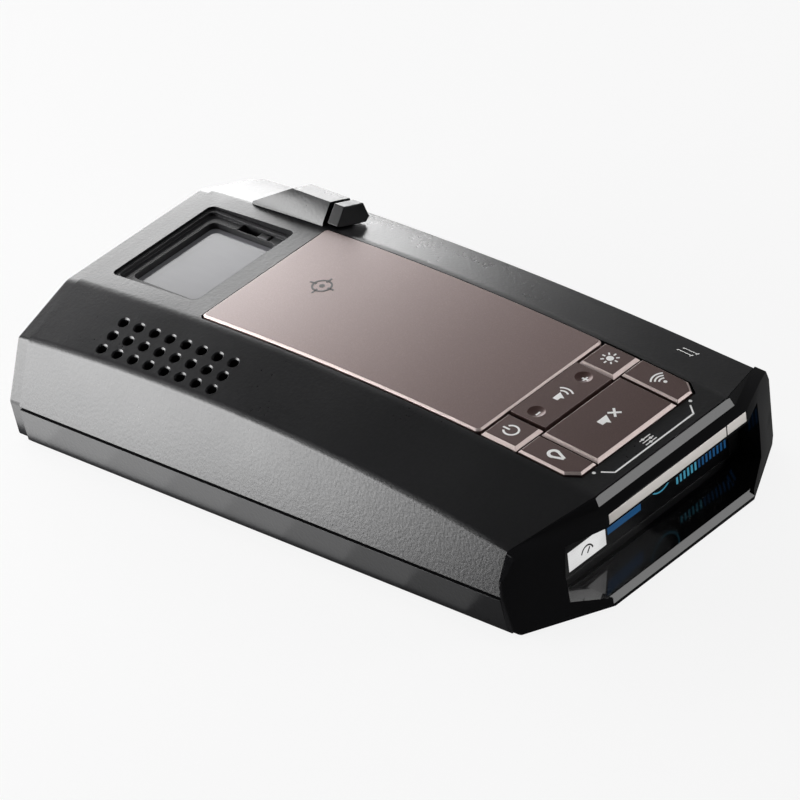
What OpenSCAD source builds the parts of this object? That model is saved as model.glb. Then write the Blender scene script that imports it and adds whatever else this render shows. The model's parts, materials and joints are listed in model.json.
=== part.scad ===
// Dashboard radar detector: two-part case with a curved deck, gloss front bezel with a hooded
// display opening, metal deck plate, six buttons, speaker grille and a magnetic mount dock.
// +X is the driver's right, -Y faces the driver, +Z is up. The origin is under the middle of the
// whole object, on the plane of the flat base.

/* [Case] */
// Half width of the case at the seam between its halves
seam_half_w = 39.5; // [39:0.1:40]
// Half width of the case at its base
base_half_w = 38.3; // [37.8:0.1:38.8]
// Height of the seam above the base
seam_z = 9; // [8.5:0.1:9.5]
// Width of the gap at the seam
seam_gap = 0.4; // [0.2:0.1:0.6]
// Lean of the side walls from upright, in degrees
side_lean = 20.9; // [19:0.1:22]
// Wall thickness of both halves of the case
wall = 1.8; // [1.6:0.1:2]
// Rear end of the case
case_rear_y = 63.5; // [63:0.1:63.6]
// Rear end of the gloss rear cover
rear_y = 67; // [66.6:0.1:67.4]
// Front of the bezel
front_y = -67; // [-67.4:0.1:-66.6]

/* [Deck] */
// Radius of the deck's long arc
deck_r = 630; // [600:5:660]
// Where along the length the deck is highest
deck_peak_y = 22.5; // [20:0.5:25]
// Height of the deck at its highest point
deck_peak_z = 28.5; // [28:0.1:29]
// Half width of the flat deck between the shoulders
deck_half_w = 19.5; // [19.2:0.1:19.8]
// Slope of the shoulders, in degrees
shoulder_tilt = 19.2; // [18:0.1:20]
// Radius of the rounded crease between deck and shoulder
crease_r = 6; // [3:0.5:7]

/* [Deck plate and buttons] */
// Half width of the metal plate and of the rows of buttons
plate_half_w = 18.2; // [18:0.1:18.3]
// Rear edge of the plate
plate_rear_y = 32.8; // [32:0.1:33.5]
// Front edge of the plate
plate_front_y = -35.3; // [-35.6:0.1:-35]
// Thickness of the plate
plate_t = 1.4; // [1.2:0.1:1.5]
// Height of the plate and buttons above the deck
plate_proud = 0.5; // [0.4:0.1:0.7]
// Gap around each button
button_gap = 0.5; // [0.45:0.05:0.55]
// Line between the two rows of buttons
row_split_y = -44.3; // [-44.6:0.1:-44]
// Front edge of the front row of buttons
row_front_y = -57.8; // [-58:0.1:-57.6]
// Half width of the volume rocker
rocker_half_w = 9.75; // [9.5:0.05:10]
// Half width of the mute button
mute_half_w = 11.5; // [11.2:0.1:11.8]
// Size of the cut-off front corners of the rows, across and along
button_corner = [2, 2.5];

/* [Mount dock] */
// Half width of the dock's mouth
dock_half_w = 14.6; // [14.4:0.1:14.8]
// Front edge of the dock's mouth
dock_front_y = 37.6; // [37.4:0.1:37.8]
// Rear edge of the dock's mouth
dock_rear_y = 59.5; // [59.2:0.1:59.6]
// Height of the dock's floor
dock_floor_z = 24.9; // [24.7:0.1:25.1]
// Travel of the mount release button
release_travel = 0.8; // [0.6:0.1:0.8]

/* [Speaker grille] */
// Distance between grille holes along the case
hole_pitch_y = 4; // [3.8:0.05:4.1]
// Distance between rows of grille holes
hole_pitch_x = 3.5; // [3.3:0.05:3.6]
// Radius of a grille hole
hole_r = 0.95; // [0.8:0.05:1.05]

/* [Ports] */
// Places of the earphone, data and power sockets along the right side
port_y = [-47.5, -39.5, -29.5];
// Height of the line of sockets
port_z = 12.9; // [12.7:0.1:13.1]
// Radius of the earphone bore
earphone_r = 1.8; // [1.75:0.05:1.85]

/* [Hidden] */
$fn = 48;
far = 90;
slip = 0.1;

charcoal = "#2b2c2e";
gloss_black = "#0c0c0e";
bronze = "#7a6a66";
steel = "#b5b7ba";
board_green = "#1d5b3a";

crease_steps = 5;
case_side_front_y = -56.1;
case_nose = [19.4, -63.4];
case_cheek = [36.4, case_side_front_y];
nose_half_w = 20.6;
cheek = [38.5, -57.7];
bezel_foot_z = 0.6;
brow_z = 20.6;
brow_back = [[2.4, 21], [3.3, 22.6]];
window_low_z = 2.4;
window_high_z = 17.8;
window_side = [[28.3, 4.4], [28.7, 10], [28.3, 16.5]];
collar_rear_y = -58.2;
lens_t = 1;
row_rear_y = plate_front_y - button_gap;
button_low_z = 21.5;
boss_spots = [for (x = [-33, 33], y = [56, -13]) [x, y]];
post_spots = [for (x = [-28, 28], y = [46, -4]) [x, y]];
rocker_y = (row_rear_y + row_split_y) / 2;
rocker_pin_z = 20.6;
ear_y = [rocker_y - 3.4, rocker_y + 3.4];
ear_half_t = 0.6;
pin_r = 0.5;
keypad_top_z = 18.75;
main_board_z = 6;
board_t = 1.2;
dock_wall = 1.3;
hump_y = [34.6, 43.7, 52.5];
hump_profile = [[-0.6, 0.8], [0.9, 4.7], [6.6, 4.7], [9, 1.6], [9.2, -0.4], [-0.6, -0.4]];
cap_y = [31, hump_y[0] - 0.2 - release_travel];
grille_rows = 3;
grille_holes = 8;
grille_first = [5.85, 18.9];
port_floor_x = 35;
port_span_y = [-52.5, -23];
port_span_z = [9.9, 16.2];

function deck_z(y) = deck_peak_z - deck_r + sqrt(deck_r * deck_r - pow(y - deck_peak_y, 2));
function side_x(z) = seam_half_w - (z - seam_z) * tan(side_lean);

// Everything under the deck's arc, drawn in by inset
module under_deck(inset) {
    translate([0, deck_peak_y, deck_peak_z - deck_r])
        rotate([0, 90, 0])
            cylinder(r = deck_r - inset, h = 4 * far, center = true, $fn = 720);
}

// Everything under the deck and both shoulders, with a rounded crease between them
module under_top(inset) {
    round_r = max(crease_r - inset, 0.5);
    crease_x = deck_half_w - inset * tan(shoulder_tilt / 2);
    start_x = crease_x - round_r * tan(shoulder_tilt / 2);
    top_r = deck_r - inset;
    side = [for (i = [0:crease_steps]) let (a = shoulder_tilt * i / crease_steps)
        [top_r - round_r + round_r * cos(a), start_x + round_r * sin(a)]];
    low = [top_r - (far - crease_x) * tan(shoulder_tilt), far];
    translate([0, deck_peak_y, deck_peak_z - deck_r])
        rotate([0, 90, 0])
            rotate([0, 0, 37])
                rotate_extrude($fn = 720)
                    polygon(concat(
                        [[0, -far], [low[0], -low[1]]],
                        [for (i = [crease_steps:-1:0]) [side[i][0], -side[i][1]]],
                        side,
                        [low, [0, far]]
                    ));
}

// Section of the case above the seam, extruded along the length
module side_prism(inset, low_z) {
    rotate([90, 0, 0])
        linear_extrude(height = 2 * far, center = true)
            polygon([
                [-side_x(low_z) + inset, low_z], [side_x(low_z) - inset, low_z],
                [side_x(32) - inset, 32], [-side_x(32) + inset, 32]
            ]);
}

// Plan of the case behind the bezel; a hollow runs out through the open front
module case_plan(inset, low_z, high_z) {
    nose = inset > 0 ? far : 0;
    translate([0, 0, low_z])
        linear_extrude(height = high_z - low_z)
            polygon([
                [-far, case_rear_y - inset], [-far, case_side_front_y - nose],
                [-case_cheek[0], case_cheek[1] - nose], [-case_nose[0], case_nose[1] - nose],
                [case_nose[0], case_nose[1] - nose], [case_cheek[0], case_cheek[1] - nose],
                [far, case_side_front_y - nose], [far, case_rear_y - inset]
            ]);
}

module upper_form(inset, low_z) {
    intersection() {
        under_top(inset);
        side_prism(inset, low_z);
        case_plan(inset, low_z, 40);
    }
}

// Lower half of the case: the sides draw in towards a chamfered foot
module lower_form(inset, low_z, high_z) {
    foot = 1.2;
    intersection() {
        rotate([90, 0, 0])
            linear_extrude(height = 2 * far, center = true)
                polygon([
                    for (side = [-1, 1], p = side < 0
                        ? [[seam_half_w, high_z], [base_half_w, foot], [base_half_w - foot, 0]]
                        : [[base_half_w - foot, 0], [base_half_w, foot], [seam_half_w, high_z]])
                        [side * (p[0] - inset), max(p[1], low_z)]
                ]);
        case_plan(inset, low_z, high_z);
    }
}

// Moves a shape drawn on the shoulder's own slope: x runs down the slope, z stands off it
module on_shoulder(side, y) {
    translate([side * deck_half_w, y, deck_z(y)])
        rotate([0, side * shoulder_tilt, 0])
            children();
}

module along_y(low_y, high_y) {
    translate([0, high_y, 0])
        rotate([90, 0, 0])
            linear_extrude(height = high_y - low_y)
                children();
}

module rounded_rect(low, high, r) {
    translate([low[0] + r, low[1]]) square([high[0] - low[0] - 2 * r, high[1] - low[1]]);
    translate([low[0], low[1] + r]) square([high[0] - low[0], high[1] - low[1] - 2 * r]);
    for (x = [low[0] + r, high[0] - r], y = [low[1] + r, high[1] - r])
        translate([x, y]) circle(r = r);
}

module box(low, high) {
    translate(low) cube(high - low);
}

// Prism on the deck with its top following the deck's arc, standing proud of it
module deck_prism(low_z, proud) {
    intersection() {
        under_deck(-proud);
        translate([0, 0, low_z]) linear_extrude(height = 20) children();
    }
}

module grille_holes_cut() {
    for (row = [0:grille_rows - 1], i = [0:grille_holes - 1])
        on_shoulder(-1, grille_first[1] + i * hole_pitch_y)
            translate([-grille_first[0] - row * hole_pitch_x, 0, -3]) {
                cylinder(r = hole_r, h = 6, $fn = 24);
                translate([0, 0, 2.7]) cylinder(r1 = hole_r, r2 = hole_r + 0.7, h = 0.7, $fn = 24);
            }
}

// Housing of the mount release button on the right shoulder, with a sloping rear end
module hump_solid(inset) {
    middle = 4.2;
    grow = 1 - inset / 4.4;
    floor_w = inset > 0 ? 0.3 : -1.2;
    on_shoulder(1, hump_y[1])
        intersection() {
            along_y(hump_y[0] - hump_y[1] - (inset > 0 ? 1 : 0), hump_y[2] - hump_y[1] - inset)
                polygon([for (p = hump_profile)
                    [middle + (p[0] - middle) * grow, p[1] < 0 ? floor_w : max(p[1] - inset, floor_w + 0.2)]]);
            rotate([90, 0, 90])
                linear_extrude(height = 40, center = true)
                    polygon([
                        [-20, -5], [hump_y[2] - hump_y[1] - inset, -5],
                        [hump_y[2] - hump_y[1] - inset, -inset], [0.6 - inset, 4.7 - inset],
                        [-20, 4.7 - inset]
                    ]);
        }
}

module dock_mouth(shrink, low_z, high_z) {
    translate([0, 0, low_z])
        linear_extrude(height = high_z - low_z)
            rounded_rect([-dock_half_w + shrink, dock_front_y + shrink],
                [dock_half_w - shrink, dock_rear_y - shrink], 1.4);
}

// Slot for the release latch's hook at the right side of the dock
module hook_slot() {
    box([12, 42.5, dock_floor_z - 2], [14.2, 50.6, dock_floor_z + 1.4]);
}

module top_case() {
    color(charcoal)
        difference() {
            union() {
                difference() {
                    upper_form(0, seam_z);
                    upper_form(wall, seam_z - 5);
                }
                intersection() {
                    upper_form(0.6, seam_z);
                    union() {
                        dock_mouth(-dock_wall, dock_floor_z - 1.4, 40);
                        for (p = boss_spots)
                            translate([p[0], p[1], seam_z]) cylinder(r = 2.8, h = 30);
                        box([33.4, port_span_y[0] - 1.2, seam_z],
                            [far, port_span_y[1] + 1.2, port_span_z[1] + 1.2]);
                    }
                }
                hump_solid(0);
            }
            translate([0, 0, deck_z(plate_front_y) - 3])
                difference() {
                    linear_extrude(height = 20)
                        rounded_rect([-plate_half_w - 0.4, plate_front_y - 1],
                            [plate_half_w + 0.4, plate_rear_y + 0.4], 1.3);
                    translate([0, 0, 3 - deck_z(plate_front_y)])
                        under_deck(plate_t - plate_proud + slip);
                }
            translate([0, 0, 18]) linear_extrude(height = 20) button_window(0);
            dock_mouth(0, dock_floor_z - 0.8, 40);
            grille_holes_cut();
            hump_solid(1.2);
            on_shoulder(1, hump_y[1]) box([2.5, -1.6, -4], [5.9, 3.8, 1]);
            hook_slot();
            box([port_floor_x, port_span_y[0], port_span_z[0]], [far, port_span_y[1], port_span_z[1]]);
            box([port_floor_x - 3, port_span_y[0] + 1, port_span_z[0] + 0.5],
                [far, port_span_y[1] - 1, port_span_z[1] - 0.5]);
            for (p = boss_spots)
                translate([p[0], p[1], seam_z - 1]) cylinder(r = 1.2, h = 9);
            translate([24, case_rear_y + 1, 13.5]) rotate([90, 0, 0]) cylinder(r = 4.6, h = 5);
        }
}

module button_window(shrink) {
    edge = plate_half_w + 0.45 - shrink;
    corner_y = row_front_y - 0.45 + shrink;
    polygon([
        [-edge, plate_front_y], [edge, plate_front_y],
        [edge, corner_y + button_corner[1] + 0.3], [edge - button_corner[0], corner_y],
        [-edge + button_corner[0], corner_y], [-edge, corner_y + button_corner[1] + 0.3]
    ]);
}

module bottom_case() {
    high_z = seam_z - seam_gap;
    color(charcoal)
        difference() {
            union() {
                difference() {
                    lower_form(0, 0, high_z);
                    lower_form(wall, wall, high_z + 5);
                }
                for (p = boss_spots)
                    translate([p[0], p[1], 0.5]) cylinder(r = 2.8, h = seam_z - slip - 0.5);
                for (p = post_spots)
                    translate([p[0], p[1], 0.5]) cylinder(r = 2.2, h = main_board_z - slip - 0.5);
            }
            for (p = boss_spots) {
                translate([p[0], p[1], -1]) cylinder(r = 1.5, h = 20);
                translate([p[0], p[1], -1]) cylinder(r = 2.1, h = 3.2);
            }
            for (p = post_spots)
                translate([p[0], p[1], wall + 0.4]) cylinder(r = 0.9, h = 10);
            box([-22, -6, -1], [22, 26, 0.3]);
        }
}

// Outline of the front seen from above, drawn in by a distance
module bezel_plan() {
    linear_extrude(height = 40)
        polygon([
            [-seam_half_w, case_side_front_y + 1], [-seam_half_w, cheek[1] + 0.9], [-cheek[0], cheek[1]],
            [-nose_half_w, front_y], [nose_half_w, front_y], [cheek[0], cheek[1]],
            [seam_half_w, cheek[1] + 0.9], [seam_half_w, case_side_front_y + 1]
        ]);
}

// Cuts the brow's step and sloping band along one facet of the front
module brow_cut() {
    rotate([90, 0, 90])
        linear_extrude(height = 120, center = true)
            polygon([
                [-6, brow_z - 1], brow_back[0], brow_back[1],
                [brow_back[1][0] + 1, 30], [-5, 30]
            ]);
}

module window_outline(grow) {
    polygon([
        for (side = [-1, 1], p = side < 0
            ? [[nose_half_w, window_low_z - grow], window_side[0] + [grow, -grow / 2],
               window_side[1] + [grow, 0], window_side[2] + [grow, grow / 2],
               [nose_half_w, window_high_z + grow]]
            : [[nose_half_w, window_high_z + grow], window_side[2] + [grow, grow / 2],
               window_side[1] + [grow, 0], window_side[0] + [grow, -grow / 2],
               [nose_half_w, window_low_z - grow]])
            [side * p[0], p[1]]
    ]);
}

module front_bezel() {
    facet_turn = atan2(cheek[1] - front_y, cheek[0] - nose_half_w);
    color(gloss_black)
        difference() {
            union() {
                difference() {
                    intersection() {
                        bezel_plan();
                        under_top(0);
                        along_y(-far, 0)
                            polygon([
                                [-37.4, bezel_foot_z], [37.4, bezel_foot_z], [38.5, 1.7],
                                [seam_half_w, 9], [seam_half_w, 12.8], [37.3, 16.6], [34, 21.5],
                                [30, 30], [-30, 30], [-34, 21.5], [-37.3, 16.6],
                                [-seam_half_w, 12.8], [-seam_half_w, 9], [-38.5, 1.7]
                            ]);
                    }
                    translate([0, -slip, 0]) case_plan(0, -1, 40);
                }
                intersection() {
                    bezel_plan();
                    along_y(front_y + 3, collar_rear_y) window_outline(1.2);
                    box([-far, -far, wall + slip], [far, 0, 40]);
                }
            }
            along_y(-far, 0) window_outline(0);
            translate([0, front_y, 0]) brow_cut();
            for (side = [-1, 1])
                translate([side * nose_half_w, front_y, brow_z])
                    rotate([0, 0, side * facet_turn])
                        rotate([0, side * 9.3, 0])
                            translate([0, 0, -brow_z]) brow_cut();
            rotate([90, 0, 90])
                linear_extrude(height = 2 * nose_half_w + 0.6, center = true)
                    polygon([[front_y - 2, 1.2], [front_y + 0.1, 1.2], [front_y + 1.1, 2.5], [front_y - 2, 2.5]]);
            box([-20.3, front_y - 1, 18.1], [20.3, front_y + 0.5, 20.4]);
        }
}

module brow_trim() {
    split = 14.4;
    color(steel)
        for (span = [[-20.2, split - 0.15], [split + 0.15, 20.2]])
            box([span[0], front_y, 18.2], [span[1], front_y + 0.4, 20.3]);
}

module rear_cover() {
    color(gloss_black)
        difference() {
            intersection() {
                under_top(0.7);
                along_y(case_rear_y + slip, rear_y)
                    polygon([
                        [-37.4, 0.8], [37.4, 0.8], [38.6, seam_z], [side_x(26) - 0.8, 26],
                        [side_x(32) - 0.8, 32], [-side_x(32) + 0.8, 32], [-side_x(26) + 0.8, 26],
                        [-38.6, seam_z]
                    ]);
            }
            box([-34, case_rear_y, 4], [34, rear_y - 1.6, 19]);
        }
}

module deck_plate() {
    color(bronze)
        difference() {
            deck_prism(20, plate_proud)
                rounded_rect([-plate_half_w, plate_front_y], [plate_half_w, plate_rear_y], 1.1);
            under_deck(plate_t - plate_proud);
        }
}

module button_shape(outline) {
    deck_prism(button_low_z, plate_proud) polygon(outline);
}

module power_button() {
    color(bronze)
        button_shape([
            [-plate_half_w, row_rear_y], [-rocker_half_w - button_gap, row_rear_y],
            [-rocker_half_w - button_gap, row_split_y + button_gap / 2],
            [-plate_half_w, row_split_y + button_gap / 2]
        ]);
}

module brightness_button() {
    color(bronze) mirror([1, 0, 0]) power_button();
}

module volume_rocker() {
    color(bronze)
        difference() {
            union() {
                button_shape([
                    [-rocker_half_w, row_rear_y], [rocker_half_w, row_rear_y],
                    [rocker_half_w, row_split_y + button_gap / 2],
                    [-rocker_half_w, row_split_y + button_gap / 2]
                ]);
                translate([0, rocker_y, rocker_pin_z])
                    rotate([90, 0, 0]) cylinder(r = 1, h = 3, center = true);
                box([-1, rocker_y - 1.5, rocker_pin_z], [1, rocker_y + 1.5, button_low_z + 1]);
            }
            translate([0, rocker_y, rocker_pin_z])
                rotate([90, 0, 0]) cylinder(r = pin_r + 0.05, h = 20, center = true);
            for (x = [-6.9, 6.9])
                translate([x, rocker_y, deck_z(rocker_y) + plate_proud + 3.3]) sphere(r = 3.7);
        }
}

module rocker_pin() {
    color(steel)
        translate([0, rocker_y, rocker_pin_z])
            rotate([90, 0, 0]) cylinder(r = pin_r, h = 8, center = true);
}

module mute_button() {
    color(bronze)
        button_shape([
            [-mute_half_w, row_split_y - button_gap / 2], [mute_half_w, row_split_y - button_gap / 2],
            [mute_half_w, row_front_y], [-mute_half_w, row_front_y]
        ]);
}

module sensitivity_button() {
    color(bronze)
        button_shape([
            [mute_half_w + button_gap, row_split_y - button_gap / 2],
            [plate_half_w, row_split_y - button_gap / 2],
            [plate_half_w, row_front_y + button_corner[1]],
            [plate_half_w - button_corner[0], row_front_y],
            [mute_half_w + button_gap, row_front_y]
        ]);
}

module mark_button() {
    color(bronze) mirror([1, 0, 0]) sensitivity_button();
}

// Frame on the keypad board that carries the rocker's pin around the silicone mat
module button_frame() {
    low_z = keypad_top_z + 0.05;
    color("#1c1d1f")
        difference() {
            union() {
                difference() {
                    translate([0, 0, low_z + 0.3]) linear_extrude(height = 1.8) button_window(-0.9);
                    translate([0, 0, low_z - 1]) linear_extrude(height = 5) button_window(0.6);
                }
                for (y = ear_y) {
                    box([-18.5, y - ear_half_t, low_z], [18.5, y + ear_half_t, low_z + 1.1]);
                    box([-1.4, y - ear_half_t, low_z], [1.4, y + ear_half_t, rocker_pin_z + 0.75]);
                }
            }
            translate([0, rocker_y, rocker_pin_z])
                rotate([90, 0, 0]) cylinder(r = pin_r + 0.03, h = 9, center = true);
        }
}

module button_spots() {
    front_row_y = (row_split_y + row_front_y) / 2;
    for (p = [[-14.2, rocker_y], [-6.5, rocker_y], [6.5, rocker_y], [14.2, rocker_y],
              [-15, front_row_y], [0, front_row_y], [15, front_row_y]])
        translate([p[0], p[1], 0]) children();
}

module button_mat() {
    low_z = keypad_top_z + 1.2;
    color("#3a3b3e") {
        difference() {
            translate([0, 0, low_z]) linear_extrude(height = 0.25) button_window(0.8);
            box([-1.7, -46.5, low_z - 1], [1.7, -30, low_z + 1]);
        }
        button_spots() translate([0, 0, low_z + 0.2]) cylinder(r1 = 2.6, r2 = 1.7, h = 0.55);
    }
}

module tact_switches() {
    color(steel) button_spots() translate([-2, -2, keypad_top_z + 0.05]) cube([4, 4, 1.1]);
}

module keypad_board() {
    color(board_green) box([-19.5, -56.2, 17.8], [19.5, -33.5, keypad_top_z]);
}

module release_button() {
    rear = cap_y[1] - hump_y[1];
    color(gloss_black)
        on_shoulder(1, hump_y[1]) {
            along_y(cap_y[0] - hump_y[1], rear)
                polygon([[-0.5, 0.9], [0.9, 4.7], [6.6, 4.7], [9, 1.7], [8.2, 0.6], [0.4, 0.6]]);
            box([3, rear - 0.5, 1], [5.4, 0.5, 2.2]);
            box([3, -1, -4.6], [5.4, 2.4, 1.2]);
        }
}

module release_latch() {
    bar_z = dock_floor_z - 2.7;
    color(steel) {
        box([12.4, 43.6, bar_z], [22.9, 46, bar_z + 1.1]);
        box([12.4, 43.6, bar_z], [13.8, 46, dock_floor_z + 0.9]);
    }
}

module dock_frame() {
    color(gloss_black)
        difference() {
            dock_mouth(slip, dock_floor_z - 0.7, dock_floor_z + 2);
            dock_mouth(0.9, dock_floor_z + 1.2, 40);
            dock_mouth(2.8, dock_floor_z - 1, 40);
            hook_slot();
        }
}

module dock_floor() {
    color("#3c3d42") dock_mouth(2.9, dock_floor_z - 0.7, dock_floor_z - 0.02);
}

module dock_magnets() {
    color(steel)
        for (x = [-8, 8])
            translate([x, (dock_front_y + dock_rear_y) / 2, dock_floor_z - 3]) cylinder(r = 4, h = 1.5);
}

module display_lens() {
    color("#141518")
        intersection() {
            along_y(collar_rear_y + 0.05, collar_rear_y + lens_t) window_outline(1);
            box([-far, -far, wall + slip], [far, 0, 40]);
        }
}

module display_panel() {
    color("#0a0a0c") box([-26, collar_rear_y + lens_t + 0.05, 4], [26, -55.7, 17]);
}

module display_holder() {
    color("#1c1d1f")
        difference() {
            box([-29.4, collar_rear_y + lens_t + 0.05, 2.3], [29.4, -52.8, 17.6]);
            box([-26.1, -60, 3.9], [26.1, -55.6, 17.1]);
            box([-22, -60, 5.5], [22, -50, 15.5]);
        }
}

module display_flex() {
    color("#a8742c") {
        box([-9, -55.6, 5.6], [9, -55.4, 14]);
        box([-9, -55.5, 7.3], [9, -47, 7.5]);
    }
}

module main_board() {
    color(board_green)
        difference() {
            box([-35.6, -51, main_board_z], [35.6, 52, main_board_z + board_t]);
            for (p = boss_spots)
                translate([p[0], p[1], 0]) cylinder(r = 3.1, h = 30);
            for (p = post_spots)
                translate([p[0], p[1], 0]) cylinder(r = 1.1, h = 30);
        }
}

module shield_can() {
    low_z = main_board_z + board_t;
    color(steel)
        difference() {
            box([-18, -32, low_z], [16, -8, low_z + 3.2]);
            box([-17.7, -31.7, low_z - 1], [15.7, -8.3, low_z + 2.9]);
        }
}

module waveguide_block() {
    low_z = main_board_z + board_t;
    color("#c9a24a")
        difference() {
            box([-9, 2, low_z], [9, 22, low_z + 8]);
            box([-6, 8, low_z + 1.5], [6, 23, low_z + 6.5]);
        }
}

// Horn that widens towards the rear; its hollow narrows to the waveguide's size
module horn_shape(throat, mouth, low_y, high_y) {
    mid_z = main_board_z + board_t + 5.6;
    translate([0, 0, mid_z])
        intersection() {
            linear_extrude(height = 60, center = true)
                polygon([[-throat[0], low_y], [throat[0], low_y], [mouth[0], high_y], [-mouth[0], high_y]]);
            rotate([90, 0, 90])
                linear_extrude(height = 120, center = true)
                    polygon([[low_y, -throat[1]], [low_y, throat[1]], [high_y, mouth[1]], [high_y, -mouth[1]]]);
        }
}

module horn_antenna() {
    color("#c9a24a")
        difference() {
            horn_shape([7.5, 3.6], [17, 5.5], 22.1, 60);
            horn_shape([5.8, 2.2], [16.2, 4.8], 22, 60.1);
        }
}

module laser_sensor() {
    color("#26282c") {
        translate([24, 60.4, 13.5]) rotate([90, 0, 0]) cylinder(r = 4.4, h = 7);
        box([19, 50, 8], [29, 53.5, 18]);
    }
}

module laser_lens() {
    color("#5a2f2f")
        translate([24, case_rear_y - 0.2, 13.5])
            rotate([90, 0, 0]) cylinder(r = 4.4, h = 2.6);
}

module gps_antenna() {
    color("#d8cfb8") box([-9, 11, 20.8], [9, 29, 25.2]);
}

module gps_board() {
    color(board_green) box([-12, 8, 19.6], [12, 31.5, 20.7]);
}

// Places the speaker under the grille, on the slope of the left shoulder
module on_speaker() {
    on_shoulder(-1, 33) translate([0, 0, -0.5]) children();
}

module speaker_frame() {
    color("#2a2b2d")
        on_speaker()
            difference() {
                box([-15.3, -17, -5.4], [-3.4, 17, -2.3]);
                box([-14.4, -16, -4.8], [-4.3, 16, -1]);
                translate([-9.35, 0, -8]) cylinder(r = 3.4, h = 6);
            }
}

module speaker_cone() {
    color("#17181a")
        on_speaker()
            difference() {
                box([-14.3, -15.9, -4.7], [-4.4, 15.9, -3.3]);
                translate([-9.35, 0, -4]) cylinder(r1 = 2, r2 = 4.2, h = 2);
            }
}

module speaker_magnet() {
    color(steel) on_speaker() translate([-9.35, 0, -8.4]) cylinder(r = 3.3, h = 3.6);
}

module speaker_mesh() {
    color("#101113") on_speaker() box([-15.1, -16.9, -2.25], [-3.6, 16.9, -1.95]);
}

module port_panel() {
    color("#1c1d1f")
        difference() {
            box([33.4, port_span_y[0] + 1.1, port_span_z[0] + 0.6],
                [34.9, port_span_y[1] - 1.1, port_span_z[1] - 0.6]);
            translate([30, port_y[0], port_z]) rotate([0, 90, 0]) cylinder(r = 2.6, h = 10);
            box([30, port_y[1] - 4.1, port_z - 2], [40, port_y[1] + 4.1, port_z + 2]);
            box([30, port_y[2] - 4.4, port_z - 2.4], [40, port_y[2] + 4.4, port_z + 2.4]);
        }
}

module power_jack() {
    low_z = main_board_z + board_t;
    color("#191a1c")
        difference() {
            box([20.5, port_y[2] - 5.6, low_z], [33.3, port_y[2] + 5.6, port_z + 3.6]);
            box([22.5, port_y[2] - 4.3, port_z - 2.3], [34, port_y[2] + 4.3, port_z + 2.3]);
        }
}

module earphone_jack() {
    low_z = main_board_z + board_t;
    color("#191a1c")
        difference() {
            union() {
                box([21.5, port_y[0] - 3, low_z], [33.3, port_y[0] + 3, port_z + 2.8]);
                translate([33.2, port_y[0], port_z]) rotate([0, 90, 0]) cylinder(r = 2.5, h = 1.7);
            }
            translate([22.9, port_y[0], port_z]) rotate([0, 90, 0]) cylinder(r = earphone_r, h = 20);
        }
}

module usb_socket() {
    low_z = main_board_z + board_t;
    color(steel)
        difference() {
            union() {
                box([26, port_y[1] - 4, low_z], [33.3, port_y[1] + 4, port_z + 1.9]);
                box([33, port_y[1] - 4, port_z - 1.9], [34.8, port_y[1] + 4, port_z + 1.9]);
            }
            box([27, port_y[1] - 3.6, port_z - 1.5], [36, port_y[1] + 3.6, port_z + 1.5]);
        }
}

module case_screws() {
    color(steel)
        for (p = boss_spots) {
            translate([p[0], p[1], 0.6]) cylinder(r = 2, h = 1.5);
            translate([p[0], p[1], 2]) cylinder(r = 1.15, h = 13);
        }
}

module board_screws() {
    top_z = main_board_z + board_t;
    color(steel)
        for (p = post_spots) {
            translate([p[0], p[1], top_z + 0.02]) cylinder(r = 1.9, h = 1.2);
            translate([p[0], p[1], top_z - 4]) cylinder(r = 0.85, h = 4.5);
        }
}

module rating_label() {
    color("#c8c8c8") box([-21.8, -5.8, 0.05], [21.8, 25.8, 0.28]);
}

top_case();
bottom_case();
front_bezel();
brow_trim();
rear_cover();
deck_plate();
power_button();
volume_rocker();
brightness_button();
mark_button();
mute_button();
sensitivity_button();
rocker_pin();
button_frame();
button_mat();
tact_switches();
keypad_board();
release_button();
release_latch();
dock_frame();
dock_floor();
dock_magnets();
display_lens();
display_panel();
display_holder();
display_flex();
main_board();
shield_can();
waveguide_block();
horn_antenna();
laser_sensor();
laser_lens();
gps_antenna();
gps_board();
speaker_frame();
speaker_cone();
speaker_magnet();
speaker_mesh();
port_panel();
power_jack();
earphone_jack();
usb_socket();
case_screws();
board_screws();
rating_label();
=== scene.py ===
# Radar detector: the looks of a dashboard detector, built around its CAD frame.
# Metres, +X is the driver's right, -Y faces the driver, +Z is up.
import json
import math

import bmesh
import bpy
from mathutils import Matrix, Quaternion, Vector


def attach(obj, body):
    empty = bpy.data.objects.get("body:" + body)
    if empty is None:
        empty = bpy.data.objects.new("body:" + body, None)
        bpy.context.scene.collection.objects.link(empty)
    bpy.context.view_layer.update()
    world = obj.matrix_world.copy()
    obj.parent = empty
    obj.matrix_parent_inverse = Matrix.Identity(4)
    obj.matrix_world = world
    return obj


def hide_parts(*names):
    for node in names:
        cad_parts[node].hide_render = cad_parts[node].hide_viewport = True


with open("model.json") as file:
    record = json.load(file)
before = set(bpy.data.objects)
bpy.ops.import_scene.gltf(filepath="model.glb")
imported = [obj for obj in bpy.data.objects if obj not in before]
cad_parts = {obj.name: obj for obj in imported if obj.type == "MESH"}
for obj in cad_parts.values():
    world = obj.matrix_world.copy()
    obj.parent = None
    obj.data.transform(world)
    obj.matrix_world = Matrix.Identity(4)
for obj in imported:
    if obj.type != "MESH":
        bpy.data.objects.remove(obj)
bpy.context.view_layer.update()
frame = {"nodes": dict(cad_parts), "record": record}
MM = 0.001

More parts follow.
